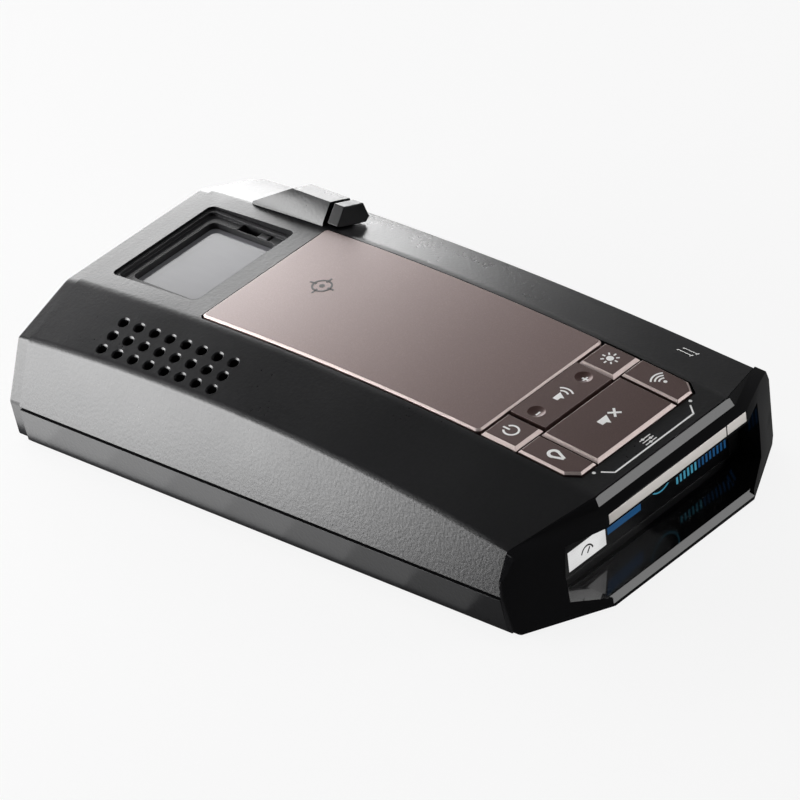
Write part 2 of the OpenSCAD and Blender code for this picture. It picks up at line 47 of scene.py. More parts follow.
# ---------------------------------------------------------------- sizes shared with the CAD
DECK_RADIUS = 630 * MM
DECK_PEAK = (22.5 * MM, 28.5 * MM)
DECK_HALF_WIDTH = 19.5 * MM
SHOULDER_TILT = math.radians(19.2)
PLATE_PROUD = 0.5 * MM
PRINT_THICKNESS = 0.03 * MM
ROCKER_Y = -40.05 * MM
PANEL_Y = -57.15 * MM
PORT_Z = 12.9 * MM
SEAM_TOP = 9.0 * MM
PORT_Y = {"earphone": -47.5 * MM, "data": -39.5 * MM, "power": -29.5 * MM}


def deck_height(y):
    """Height of the deck's long arc at a place along the case."""
    reach = y - DECK_PEAK[0]
    return DECK_PEAK[1] - DECK_RADIUS + math.sqrt(DECK_RADIUS**2 - reach**2)


# ---------------------------------------------------------------- camera
CAMERA_TARGET = Vector((2.0, 3.0, 8.8)) * MM
CAMERA_BACK = Vector((-0.6093, -0.5835, 0.5369)).normalized()
CAMERA_DISTANCE = 1.35
CAMERA_ROLL = math.radians(-6.389)


def place_camera():
    data = bpy.data.cameras.new("camera")
    data.lens = 320.7
    data.sensor_width = 36
    data.clip_start = 0.05
    data.clip_end = 20
    camera = bpy.data.objects.new("camera", data)
    bpy.context.scene.collection.objects.link(camera)
    camera.location = CAMERA_TARGET + CAMERA_DISTANCE * CAMERA_BACK
    camera.rotation_mode = "QUATERNION"
    turn = (-CAMERA_BACK).to_track_quat("-Z", "Y")
    camera.rotation_quaternion = turn @ Quaternion((0, 0, 1), CAMERA_ROLL)
    bpy.context.scene.camera = camera


place_camera()


# ---------------------------------------------------------------- shader maths
class Wire:
    """One output of a shader node; sums and products of wires make the maths nodes."""

    def __init__(self, tree, socket):
        self.tree = tree
        self.socket = socket

    def make(self, kind, settings=None, sockets=None, output=0):
        """Adds a node of any kind to the same tree and returns one of its outputs."""
        node = self.tree.nodes.new(kind)
        for key, value in (settings or {}).items():
            setattr(node, key, value)
        for key, value in (sockets or {}).items():
            if isinstance(value, Wire):
                self.tree.links.new(value.socket, node.inputs[key])
            else:
                node.inputs[key].default_value = value
        return Wire(self.tree, node.outputs[output])

    def maths(self, operation, first, second=0.0):
        return self.make("ShaderNodeMath", {"operation": operation}, {0: first, 1: second})

    def __add__(self, other):
        return self.maths("ADD", self, other)

    def __radd__(self, other):
        return self.maths("ADD", other, self)

    def __mul__(self, other):
        return self.maths("MULTIPLY", self, other)

    def __rmul__(self, other):
        return self.maths("MULTIPLY", other, self)

    def __gt__(self, other):
        return self.maths("GREATER_THAN", self, other)

    def __lt__(self, other):
        return self.maths("LESS_THAN", self, other)

    def part(self, axis):
        """One coordinate of a point."""
        return self.make("ShaderNodeSeparateXYZ", None, {0: self}, "XYZ".index(axis))

    def stretched(self, x, y, z):
        return self.make("ShaderNodeVectorMath", {"operation": "MULTIPLY"}, {0: self, 1: (x, y, z)})

    def noise(self, per_metre, detail=2.0, roughness=0.5):
        sockets = {"Vector": self, "Scale": per_metre, "Detail": detail, "Roughness": roughness}
        return self.make("ShaderNodeTexNoise", None, sockets)

    def cells(self, per_metre):
        return self.make("ShaderNodeTexVoronoi", None, {"Vector": self, "Scale": per_metre})

    def eased(self, low, high, start=0.0, end=1.0):
        """A smooth step from start to end as this value goes from low to high."""
        sockets = {"Value": self, "From Min": low, "From Max": high, "To Min": start, "To Max": end}
        return self.make("ShaderNodeMapRange", {"interpolation_type": "SMOOTHSTEP"}, sockets)

    def between(self, first, second):
        """A colour between two, by this value."""
        sockets = {0: self}
        for index, colour in ((6, first), (7, second)):
            sockets[index] = colour if isinstance(colour, Wire) else (*colour, 1.0)
        return self.make("ShaderNodeMix", {"data_type": "RGBA"}, sockets, 2)

    def bumps(self, strength, depth):
        """A normal that follows this value as a height."""
        sockets = {"Height": self, "Strength": strength, "Distance": depth}
        return self.make("ShaderNodeBump", None, sockets)


def paint(name, recipe, **constants):
    """A material whose recipe turns a point on the object into sockets of its shader."""
    material = bpy.data.materials.new(name)
    material.use_nodes = True
    tree = material.node_tree
    shader = tree.nodes["Principled BSDF"]
    for key, value in constants.items():
        shader.inputs[key.replace("_", " ")].default_value = value
    points = tree.nodes.new("ShaderNodeTexCoord")
    for key, value in recipe(Wire(tree, points.outputs["Object"])).items():
        tree.links.new(value.socket, shader.inputs[key])
    return material


def spark_plastic(colour, light_colour, rough, grain=0.27):
    """Moulded plastic with a fine spark-eroded grain."""

    def recipe(at):
        pits = at.noise(1500, 2, 0.5)
        haze = at.noise(45, 3)
        return {
            "Base Color": pits.between(colour, light_colour),
            "Roughness": rough + 0.1 * haze + 0.05 * pits,
            "Normal": pits.bumps(grain, 0.1 * MM),
        }

    return recipe


def polished_plastic(colour, rough):
    """Polished moulding: hardly any grain, a few faint wipe marks."""

    def recipe(at):
        wipes = at.stretched(1, 0.25, 1).noise(260, 4, 0.55)
        return {
            "Base Color": wipes.between(colour, [1.3 * c for c in colour]),
            "Roughness": rough + 0.05 * wipes.eased(0.45, 0.75),
            "Normal": at.noise(90, 1).bumps(0.02, 0.1 * MM),
        }

    return recipe


def metal_flake(dark, light, rough):
    """Satin metallic coat: tiny flakes that differ in tone."""

    def recipe(at):
        flakes = at.cells(5200)
        grain = at.noise(6500, 2, 0.7)
        cloud = at.noise(30, 2)
        tone = 0.55 * flakes + 0.3 * grain + 0.25 * cloud
        return {
            "Base Color": tone.between(dark, light),
            "Roughness": rough + 0.12 * grain,
            "Normal": grain.bumps(0.22, 0.03 * MM),
        }

    return recipe


def brushed(dark, light, rough, along=(1, 40, 40)):
    """Sheet metal with fine lines along one direction."""

    def recipe(at):
        lines = at.stretched(*along).noise(160, 4, 0.65)
        return {
            "Base Color": lines.between(dark, light),
            "Roughness": rough + 0.18 * lines,
            "Normal": lines.bumps(0.1, 0.03 * MM),
        }

    return recipe


def solder_mask(at):
    """Green board: tracks that show through the mask, and plated holes."""
    tracks = at.stretched(1, 3, 1).cells(420)
    cover = (tracks > 0.34) * 0.8
    pads = at.cells(900) < 0.16
    green = cover.between((0.012, 0.075, 0.035), (0.02, 0.13, 0.06))
    return {
        "Base Color": pads.between(green, (0.5, 0.42, 0.2)),
        "Roughness": 0.32 + 0.2 * at.noise(900),
        "Normal": cover.bumps(0.4, 0.04 * MM),
    }


def woven(dark, light, per_metre):
    """Cloth or mesh: threads that cross."""

    def recipe(at):
        across = (at.part("X") * per_metre).maths("SINE", at.part("X") * per_metre)
        along = (at.part("Y") * per_metre).maths("SINE", at.part("Y") * per_metre)
        weave = across * along * 0.5 + 0.5
        return {
            "Base Color": weave.between(dark, light),
            "Roughness": 0.75 + 0.15 * at.noise(700),
            "Normal": weave.bumps(0.6, 0.08 * MM),
        }

    return recipe


def speckled(dark, light, rough, per_metre=1500):
    def recipe(at):
        spots = at.noise(per_metre, 3, 0.6)
        return {
            "Base Color": spots.between(dark, light),
            "Roughness": rough + 0.12 * spots,
            "Normal": spots.bumps(0.15, 0.04 * MM),
        }

    return recipe


def screen_light(colour, level):
    """A lit part of the display, a little uneven as its backlight is."""

    def recipe(at):
        glow = at.noise(180, 1).eased(0.2, 0.8, 0.85, 1.0)
        return {
            "Base Color": glow.between((0.01, 0.01, 0.01), [0.3 * c for c in colour]),
            "Emission Color": glow.between((0, 0, 0), colour),
        }

    return paint("screen_light", recipe, Roughness=0.5, Emission_Strength=level)


PAINTS = {
    "case_plastic": paint(
        "case_plastic",
        spark_plastic((0.005, 0.005, 0.0055), (0.010, 0.010, 0.011), 0.22),
        Specular_IOR_Level=0.42,
    ),
    "gloss_black": paint(
        "gloss_black", polished_plastic((0.003, 0.003, 0.0035), 0.05), Specular_IOR_Level=0.4
    ),
    "satin_black": paint(
        "satin_black", polished_plastic((0.006, 0.006, 0.0065), 0.28), Specular_IOR_Level=0.35
    ),
    "bronze_metal": paint(
        "bronze_metal",
        metal_flake((0.095, 0.056, 0.052), (0.185, 0.12, 0.112), 0.33),
        Metallic=0.4,
        Coat_Weight=0.55,
        Coat_Roughness=0.24,
    ),
    "bronze_keys": paint(
        "bronze_keys", metal_flake((0.052, 0.028, 0.025), (0.11, 0.064, 0.058), 0.35), Metallic=0.4
    ),
    # Edge chamfers: a far lighter copy of the bronze, a painted highlight for the light the edges catch.
    "painted_highlight_edge": paint(
        "painted_highlight_edge", metal_flake((0.5, 0.41, 0.385), (0.68, 0.575, 0.55), 0.4), Metallic=0.6
    ),
    "brow_metal": paint(
        "brow_metal", brushed((0.55, 0.52, 0.49), (0.75, 0.72, 0.69), 0.3), Metallic=1.0
    ),
    "lens_smoke": paint(
        "lens_smoke", polished_plastic((0.004, 0.004, 0.005), 0.03), Specular_IOR_Level=0.3, Alpha=0.25
    ),
    "panel_black": paint("panel_black", speckled((0.002, 0.002, 0.002), (0.004, 0.004, 0.005), 0.3)),
    "black_plastic": paint(
        "black_plastic", spark_plastic((0.012, 0.012, 0.013), (0.024, 0.024, 0.026), 0.42)
    ),
    "silicone": paint("silicone", speckled((0.03, 0.03, 0.032), (0.05, 0.05, 0.055), 0.62)),
    "steel": paint("steel", brushed((0.42, 0.42, 0.43), (0.62, 0.62, 0.63), 0.24), Metallic=1.0),
    "horn_brass": paint("horn_brass", speckled((0.5, 0.36, 0.13), (0.66, 0.5, 0.22), 0.3), Metallic=1.0),
    "board": paint("board", solder_mask),
    "ceramic": paint("ceramic", speckled((0.55, 0.5, 0.38), (0.68, 0.63, 0.5), 0.45)),
    "flex": paint("flex", brushed((0.3, 0.15, 0.035), (0.5, 0.28, 0.08), 0.3, (60, 1, 1))),
    "cone_paper": paint("cone_paper", woven((0.008, 0.008, 0.008), (0.035, 0.035, 0.035), 9000)),
    "laser_glass": paint("laser_glass", polished_plastic((0.06, 0.008, 0.012), 0.04)),
    "label_paper": paint("label_paper", speckled((0.42, 0.42, 0.42), (0.5, 0.5, 0.5), 0.4, 2500)),
    "white_print": paint("white_print", speckled((0.8, 0.8, 0.79), (0.9, 0.9, 0.89), 0.45)),
    "dark_print": paint("dark_print", speckled((0.02, 0.016, 0.015), (0.035, 0.03, 0.028), 0.4)),
    "gold_plate": paint("gold_plate", brushed((0.7, 0.46, 0.14), (0.9, 0.64, 0.25), 0.2), Metallic=1.0),
    # Dock floor: dark glass coloured light grey, a painted reflection of the bright light it mirrors.
    "dock_glass_painted_reflection": paint("dock_glass_painted_reflection", polished_plastic((0.12, 0.12, 0.13), 0.12)),
}
LIGHTS_ON = {
    "white": screen_light((1.0, 1.0, 1.0), 1.2),
    "blue": screen_light((0.02, 0.16, 0.42), 0.6),
    "cyan": screen_light((0.1, 0.5, 0.72), 0.8),
    "amber": screen_light((0.9, 0.35, 0.05), 0.6),
}

SLOT_OF = {entry["node"]: entry["material_slot"] for entry in frame["record"]["subparts"]}
BODY_OF = {
    node: body for body, nodes in frame["record"]["behaviour"]["bodies"].items() for node in nodes
}


# ---------------------------------------------------------------- making pieces
def settle(name, bm, material, body="case", slot=None, sharp=30, edge_highlight_material=None):
    """Turns a finished bmesh into a piece that rides on a body; faces marked 1 take a second material, a
    lighter colour that paints a highlight on edges.
    """
    mesh = bpy.data.meshes.new(name)
    mesh.materials.append(PAINTS.get(material) or LIGHTS_ON[material])
    if edge_highlight_material:
        mesh.materials.append(PAINTS[edge_highlight_material])
    bm.to_mesh(mesh)
    bm.free()
    for layer in ("custom_normal", "sharp_edge", "sharp_face"):
        if layer in mesh.attributes:
            mesh.attributes.remove(mesh.attributes[layer])
    if not edge_highlight_material:
        mesh.polygons.foreach_set("material_index", [0] * len(mesh.polygons))
    mesh.shade_smooth()
    mesh.set_sharp_from_angle(angle=math.radians(sharp))
    piece = bpy.data.objects.new(name, mesh)
    bpy.context.scene.collection.objects.link(piece)
    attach(piece, body)
    return piece


def welded(node):
    """A copy of a CAD node's mesh with its seams joined and its flat faces whole."""
    bm = bmesh.new()
    bm.from_mesh(frame["nodes"][node].data)
    bmesh.ops.remove_doubles(bm, verts=bm.verts, dist=0.002 * MM)
    flat = math.radians(0.12)
    bmesh.ops.dissolve_limit(bm, angle_limit=flat, verts=bm.verts, edges=bm.edges)
    return bm


def rounded(piece, width, segments=3, angle=28):
    """Rounds every edge that turns more than an angle."""
    modifier = piece.modifiers.new("rounded_edges", "BEVEL")
    modifier.width = width
    modifier.segments = segments
    modifier.limit_method = "ANGLE"
    modifier.angle_limit = math.radians(angle)
    modifier.harden_normals = True
    return piece


def dressed(node, material=None, width=0.2 * MM, segments=3, bm=None, sharp=30, edge_highlight_material=None):
    """A CAD node shown with softened edges and its own finish."""
    slot = SLOT_OF[node]
    bm = bm or welded(node)
    piece = settle(node + "_shell", bm, material or slot, BODY_OF[node], slot, sharp, edge_highlight_material)
    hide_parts(node)
    if width:
        rounded(piece, width, segments)
    return piece


def carved(piece, cutters):
    """Cuts tool shapes out of a piece for good and removes them."""
    for cutter in cutters:
        modifier = piece.modifiers.new("cut", "BOOLEAN")
        modifier.operation = "DIFFERENCE"
        modifier.solver = "EXACT"
        modifier.use_self = True
        modifier.object = cutter
        bpy.context.view_layer.update()
        graph = bpy.context.evaluated_depsgraph_get()
        made = bpy.data.meshes.new_from_object(piece.evaluated_get(graph))
        piece.modifiers.clear()
        piece.data = made
        bpy.data.objects.remove(cutter)
    return piece


def block(bm, low, high):
    """Adds a box between two corners."""
    middle = (Vector(low) + Vector(high)) / 2
    sides = Vector(high) - Vector(low)
    place = Matrix.Translation(middle) @ Matrix.Diagonal((*sides, 1))
    return bmesh.ops.create_cube(bm, size=1, matrix=place)["verts"]


class Stencil:
    """Printed marks: drawn flat in plan, then laid on a surface and given a skin's thickness."""

    def __init__(self):
        self.bm = bmesh.new()

    def bar(self, start, end, width):
        start, end = Vector((*start, 0)) * MM, Vector((*end, 0)) * MM
        span = end - start
        turn = Matrix.Rotation(math.atan2(span.y, span.x), 4, "Z")
        sides = Matrix.Diagonal((span.length / 2, width * MM / 2, 1, 1))
        place = Matrix.Translation((start + end) / 2) @ turn @ sides
        bmesh.ops.create_grid(self.bm, x_segments=4, y_segments=1, size=1, matrix=place)
        return self

    def disc(self, centre, radius, sides=28, turn=0.0):
        place = Matrix.Translation(Vector((*centre, 0)) * MM) @ Matrix.Rotation(math.radians(turn), 4, "Z")
        bmesh.ops.create_circle(self.bm, cap_ends=True, segments=sides, radius=radius * MM, matrix=place)
        return self

    def arc(self, centre, radius, width, first, last):
        centre = Vector((*centre, 0)) * MM
        reach = Vector((math.cos(math.radians(first)), math.sin(math.radians(first)), 0))
        inner = self.bm.verts.new(centre + reach * (radius - width / 2) * MM)
        outer = self.bm.verts.new(centre + reach * (radius + width / 2) * MM)
        edge = self.bm.edges.new((inner, outer))
        steps = max(6, int(abs(last - first) / 9))
        bmesh.ops.spin(
            self.bm, geom=[inner, outer, edge], cent=centre, axis=(0, 0, 1),
            angle=math.radians(last - first), steps=steps, use_duplicate=False,
        )
        return self

    def moved(self, x, y, scale=1.0, turn=0.0):
        place = Matrix.Translation(Vector((x, y, 0)) * MM)
        place = place @ Matrix.Rotation(math.radians(turn), 4, "Z") @ Matrix.Scale(scale, 4)
        bmesh.ops.transform(self.bm, matrix=place, verts=self.bm.verts)
        return self

    def laid(self, name, lift, body, material="white_print", slot=None):
        """Lays the marks on a surface; lift says where a flat point goes."""
        bmesh.ops.remove_doubles(self.bm, verts=self.bm.verts, dist=0.001 * MM)
        bmesh.ops.recalc_face_normals(self.bm, faces=self.bm.faces)
        face_down = [face for face in self.bm.faces if face.normal.z < 0]
        bmesh.ops.reverse_faces(self.bm, faces=face_down)
        top = bmesh.ops.extrude_face_region(self.bm, geom=list(self.bm.faces))
        raised = [item for item in top["geom"] if isinstance(item, bmesh.types.BMVert)]
        for vertex in raised:
            vertex.co.z += PRINT_THICKNESS
        for vertex in self.bm.verts:
            vertex.co = lift(vertex.co.copy())
        bmesh.ops.recalc_face_normals(self.bm, faces=self.bm.faces)
        return settle(name, self.bm, material, body, slot)


def on_deck(point):
    return Vector((point.x, point.y, deck_height(point.y) + point.z))


def on_keys(point):
    return Vector((point.x, point.y, deck_height(point.y) + PLATE_PROUD + point.z))


def on_right_shoulder(point):
    down = point.x - DECK_HALF_WIDTH
    height = deck_height(point.y) - down * math.tan(SHOULDER_TILT)
    return Vector((point.x, point.y, height + point.z + 0.01 * MM))


def on_panel(point):
    """Drawn as seen from the driver's seat: the mark's own y is height on the display."""
    return Vector((point.x, PANEL_Y - 0.01 * MM - point.z * 0.5, point.y))


# ---------------------------------------------------------------- case
def edges_where(bm, test):
    """The edges between two faces for which a test of the edge's middle and its two normals holds."""
    found = []
    for edge in bm.edges:
        if len(edge.link_faces) == 2:
            middle = (edge.verts[0].co + edge.verts[1].co) / 2
            if test(middle, edge.link_faces[0].normal, edge.link_faces[1].normal):
                found.append(edge)
    return found


def shoulder_creases(bm):
    """The long edges where a shoulder of the case turns down into its side wall."""

    def is_crease(at, a, b):
        low, high = sorted((a.z, b.z))
        return 0.3 < low < 0.42 and high > 0.9 and 40 < math.degrees(a.angle(b)) < 60 and abs(at.x) > 33 * MM

    return [edge for edge in edges_where(bm, is_crease) if edge.calc_length() >= 0.3 * MM]


def seam_rim(bm):
    """The outer edges of the upper half where it meets the seam."""

    def is_rim(at, a, b):
        return abs(at.z - SEAM_TOP) < 0.1 * MM and min(a.z, b.z) < -0.9 and max(a.z, b.z) > 0.2

    return edges_where(bm, is_rim)


def build_top_case():
    """The upper half: rounded shoulder creases, and a small chamfer that widens the seam's shadow."""
    bm = welded("top_case")
    for edges, width, segments in ((shoulder_creases, 1.1 * MM, 8), (seam_rim, 0.32 * MM, 1)):
        bmesh.ops.bevel(
            bm, geom=edges(bm), offset=width, segments=segments, profile=0.5, affect="EDGES",
            clamp_overlap=False,
        )
    dressed("top_case", bm=bm, width=0.22 * MM)


def build_bezel():
    """The bezel's outer corners are rounded more than the edges of its window."""
    bm = welded("front_bezel")

    def is_corner(at, a, b):
        return abs(at.x) > 36 * MM and 20 < math.degrees(a.angle(b)) < 120 and a.y + b.y < 0.6

    bmesh.ops.bevel(
        bm, geom=edges_where(bm, is_corner), offset=1.3 * MM, segments=6, profile=0.5, affect="EDGES",
        clamp_overlap=True,
    )
    dressed("front_bezel", bm=bm, width=0.55 * MM, segments=4)


def build_case():
    build_top_case()
    dressed("bottom_case", width=0.35 * MM)
    build_bezel()
    dressed("rear_cover", "case_plastic", width=0.5 * MM, segments=4)
    dressed("brow_trim", width=0.06 * MM, segments=2)
    dressed("rating_label", width=0.05 * MM, segments=2)


# ---------------------------------------------------------------- deck plate and buttons
def chamfered(node, width):
    """A key or plate whose upper edges are cut to a flat chamfer, coloured lighter than the key as a painted
    highlight.
    """
    bm = welded(node)
    rim = edges_where(bm, lambda at, a, b: max(a.z, b.z) > 0.9 and -0.3 < min(a.z, b.z) < 0.3)
    bmesh.ops.bevel(
        bm, geom=rim, offset=width, segments=1, profile=0.5, affect="EDGES", material=1, clamp_overlap=True
    )
    return dressed(node, bm=bm, width=0.05 * MM, segments=2, sharp=18, edge_highlight_material="painted_highlight_edge")


def build_keys():
    chamfered("deck_plate", 0.38 * MM)
    for key in ("power", "brightness", "mark", "mute", "sensitivity"):
        chamfered(key + "_button", 0.6 * MM)
    chamfered("volume_rocker", 0.6 * MM)


def power_mark():
    return Stencil().arc((0, 0), 1.25, 0.36, 122, 418).bar((0, 0.3), (0, 1.65), 0.36)


def speaker_mark():
    marks = Stencil()
    marks.bar((-1.7, 0), (-0.9, 0), 0.9)
    marks.disc((-0.7, 0), 0.95, 3, 180)
    return marks


def loud_mark():
    return speaker_mark().arc((-0.4, 0), 1.1, 0.3, -42, 42).arc((-0.4, 0), 1.85, 0.3, -42, 42)


def silent_mark():
    marks = speaker_mark()
    marks.bar((0.5, -0.6), (1.7, 0.6), 0.32)
    return marks.bar((0.5, 0.6), (1.7, -0.6), 0.32)


def sun_mark():
    marks = Stencil().disc((0, 0), 0.62)
    for i in range(8):
        way = Vector((math.cos(i * math.pi / 4), math.sin(i * math.pi / 4)))
        marks.bar(way * 0.95, way * 1.5, 0.28)
    return marks


def pin_mark():
    marks = Stencil().arc((0, 0.45), 0.72, 0.5, -20, 200)
    marks.bar((-0.72, 0.3), (-0.05, -1.35), 0.42)
    return marks.bar((0.72, 0.3), (0.05, -1.35), 0.42)


def signal_mark():
    marks = Stencil().disc((0, -0.9), 0.32)
    for radius in (0.95, 1.6, 2.25):
        marks.arc((0, -0.9), radius, 0.3, 48, 132)
    return marks


def slider_mark():
    marks = Stencil()
    for row, knob in ((0.5, -0.5), (-0.05, 0.55), (-0.6, -0.1)):
        marks.bar((-1.15, row), (1.15, row), 0.16)
        marks.disc((knob, row), 0.24, 14)
    return marks


def satellite_mark():
    marks = Stencil().arc((0, 0), 2.0, 0.42, 0, 360).disc((0, 0), 0.6)
    for turn in (0, 90, 180, 270):
        way = Vector((math.cos(math.radians(turn)), math.sin(math.radians(turn))))
        marks.bar(way * 1.45, way * 3.1, 0.42)
    return marks


def print_keys():
    power_mark().moved(-14.3, -39.8, 1.15).laid("power_print", on_keys, "power", slot="bronze_keys")
    loud_mark().moved(0.3, -40.0, 1.25).laid("volume_print", on_keys, "volume", slot="bronze_keys")
    sun_mark().moved(14.5, -39.9, 1.2).laid("brightness_print", on_keys, "brightness", slot="bronze_keys")
    pin_mark().moved(-14.9, -50.9, 1.35).laid("mark_print", on_keys, "mark", slot="bronze_keys")
    silent_mark().moved(0.2, -51.0, 1.55).laid("mute_print", on_keys, "mute", slot="bronze_keys")
    signal_mark().moved(15.3, -51.2, 1.2).laid(
        "sensitivity_print", on_keys, "sensitivity", slot="bronze_keys"
    )
    satellite_mark().moved(1.7, 19.7, 0.95).laid(
        "receiver_print", on_keys, "case", "dark_print", "bronze_metal"
    )


def in_dimple(x_centre):
    """Puts a mark on the floor of one of the rocker's round dimples."""
    ball = Vector((x_centre, ROCKER_Y, deck_height(ROCKER_Y) + PLATE_PROUD + 3.3 * MM))

    def lift(point):
        across = (point.x - ball.x) ** 2 + (point.y - ball.y) ** 2
        return Vector((point.x, point.y, ball.z - math.sqrt((3.7 * MM) ** 2 - across) + point.z))

    return lift


def print_rocker():
    row = ROCKER_Y / MM
    minus = Stencil().bar((-7.5, row), (-6.3, row), 0.4)
    minus.laid("minus_print", in_dimple(-6.9 * MM), "volume", slot="bronze_keys")
    plus = Stencil().bar((6.2, row), (7.6, row), 0.4).bar((6.9, row - 0.7), (6.9, row + 0.7), 0.4)
    plus.laid("plus_print", in_dimple(6.9 * MM), "volume", slot="bronze_keys")


def print_deck():
    bracket = Stencil()
    for side in (-1, 1):
        bracket.disc((side * 14.17, -58.96), 0.36)
        bracket.bar((side * 13.15, -59.74), (side * 11.55, -61.72), 0.34)
    bracket.bar((-11.62, -61.74), (11.62, -61.74), 0.34)
    bracket.laid("preference_bracket", on_deck, "case", slot="case_plastic")
    slider_mark().moved(0, -60.2, 1.35).laid("preference_print", on_deck, "case", slot="case_plastic")
    sockets = Stencil()
    for x in (28.6, 30.3):
        sockets.bar((x, -47.6), (x, -44.6), 0.26)
        sockets.bar((x - 0.45, -47.6), (x + 0.5, -47.6), 0.26)
        sockets.bar((x - 0.45, -44.6), (x + 0.1, -44.6), 0.26)
    sockets.laid("socket_print", on_right_shoulder, "case", slot="case_plastic")


# ---------------------------------------------------------------- display
def build_display():
    dressed("display_lens", width=0.0)
    dressed("display_panel", "panel_black", 0.0)
    unit = Stencil().bar((-21.4, 6.9), (-10.6, 6.9), 4.2)
    unit.laid("unit_box", on_panel, "case", "white", "lens_smoke")
    band = Stencil().bar((-10.0, 7.5), (-0.2, 7.5), 1.9)
    band.laid("band_box", on_panel, "case", "blue", "lens_smoke")
    dial = Stencil().arc((5.8, 11.2), 3.9, 0.3, 200, 500)
    dial.laid("direction_dial", on_panel, "case", "cyan", "lens_smoke")
    strong = Stencil()
    weak = Stencil()
    for i in range(14):
        bars = strong if i < 6 else weak
        bars.bar((10.6 + i * 1.1, 6.2), (10.6 + i * 1.1, 7.7 + i * 0.12), 0.55)
    strong.laid("signal_bars_lit", on_panel, "case", "cyan", "lens_smoke")
    weak.laid("signal_bars_faint", on_panel, "case", "blue", "lens_smoke")
    speed = Stencil()
    for x in (-19.5, -15.6, -11.7):
        speed.bar((x, 10.4), (x, 15.2), 0.9)
    speed.laid("speed_segments", on_panel, "case", "white", "lens_smoke")
    alert = Stencil().disc((-3.5, 12.6), 1.7, 3, 90)
    alert.laid("alert_triangle", on_panel, "case", "amber", "lens_smoke")
    gauge = Stencil().arc((-16, 6.0), 1.7, 0.34, 15, 165).bar((-16, 6.0), (-15.2, 7.1), 0.34)

    def on_unit_box(point):
        return on_panel(point) + Vector((0, -0.02 * MM, 0))

    gauge.laid("gauge_print", on_unit_box, "case", "dark_print", "lens_smoke")


# ---------------------------------------------------------------- dock and release
def build_dock():
    dressed("dock_frame", width=0.12 * MM, segments=2)
    # The dock floor's light grey colour is a painted reflection.
    dressed("dock_floor", "dock_glass_painted_reflection", 0.1 * MM, 2)
    dressed("release_button", "satin_black", 0.7 * MM, 4)
    dressed("release_latch", width=0.1 * MM, segments=2)


# ---------------------------------------------------------------- sockets on the right side
def build_sockets():
    dressed("port_panel", width=0.12 * MM, segments=2)
    dressed("power_jack", width=0.1 * MM, segments=2)
    dressed("usb_socket", width=0.08 * MM, segments=2)
    dressed("earphone_jack", width=0.1 * MM, segments=2)
    contacts = bmesh.new()
    for i in range(4):
        y = PORT_Y["power"] + (i - 1.5) * 1.15 * MM
        low = (23.0 * MM, y - 0.2 * MM, PORT_Z + 1.75 * MM)
        block(contacts, low, (31.5 * MM, y + 0.2 * MM, PORT_Z + 2.25 * MM))
    for i in range(5):
        y = PORT_Y["data"] + (i - 2) * 0.85 * MM
        low = (27.2 * MM, y - 0.17 * MM, PORT_Z - 0.28 * MM)
        block(contacts, low, (33.6 * MM, y + 0.17 * MM, PORT_Z - 0.18 * MM))
    settle("socket_contacts", contacts, "gold_plate", "case", "steel")
    tongue = bmesh.new()
    low = (27.1 * MM, PORT_Y["data"] - 2.5 * MM, PORT_Z - 0.2 * MM)
    block(tongue, low, (34.0 * MM, PORT_Y["data"] + 2.5 * MM, PORT_Z + 0.4 * MM))
    rounded(settle("data_tongue", tongue, "black_plastic", "case", "black_plastic"), 0.1 * MM, 2)
    ring = bmesh.new()
    centre = Vector((34.92 * MM, PORT_Y["earphone"], PORT_Z))
    start = ring.verts.new(centre + Vector((0, 1.83 * MM, 0)))
    end = ring.verts.new(centre + Vector((0, 2.3 * MM, 0)))
    rim = ring.edges.new((start, end))
    bmesh.ops.spin(
        ring, geom=[start, end, rim], cent=centre, axis=(1, 0, 0), angle=math.tau, steps=48, use_merge=True,
        use_duplicate=False,
    )
    bmesh.ops.remove_doubles(ring, verts=ring.verts, dist=0.002 * MM)
    bmesh.ops.solidify(ring, geom=list(ring.faces), thickness=-0.06 * MM)
    bmesh.ops.recalc_face_normals(ring, faces=ring.faces)
    settle("earphone_ring", ring, "steel", "case", "steel")


# ---------------------------------------------------------------- fasteners
def cross_cutter(name, centre, reach, width, low, high, turn):
    """A cross-shaped tool that tapers towards its point, as a screwdriver does."""
    bm = bmesh.new()
    for quarter in (0, 90):
        verts = block(bm, (-reach, -width / 2, low), (reach, width / 2, high))
        spin = Matrix.Translation(centre) @ Matrix.Rotation(math.radians(quarter + turn), 4, "Z")
        bmesh.ops.transform(bm, matrix=spin, verts=verts)
    mesh = bpy.data.meshes.new(name)
    bm.to_mesh(mesh)
    bm.free()
    cutter = bpy.data.objects.new(name, mesh)
    bpy.context.scene.collection.objects.link(cutter)
    return cutter


def build_screws():
    screws = dressed("case_screws", width=0.0)
    spots = [(-33, 56, 20), (-33, -13, 65), (33, 56, 40), (33, -13, 5)]
    cutters = []
    for i, (x, y, turn) in enumerate(spots):
        centre = Vector((x * MM, y * MM, 0))
        cutters.append(
            cross_cutter(f"driver_{i}", centre, 1.25 * MM, 0.45 * MM, -0.2 * MM, 1.5 * MM, turn)
        )
    carved(screws, cutters)
    rounded(screws, 0.08 * MM, 2)


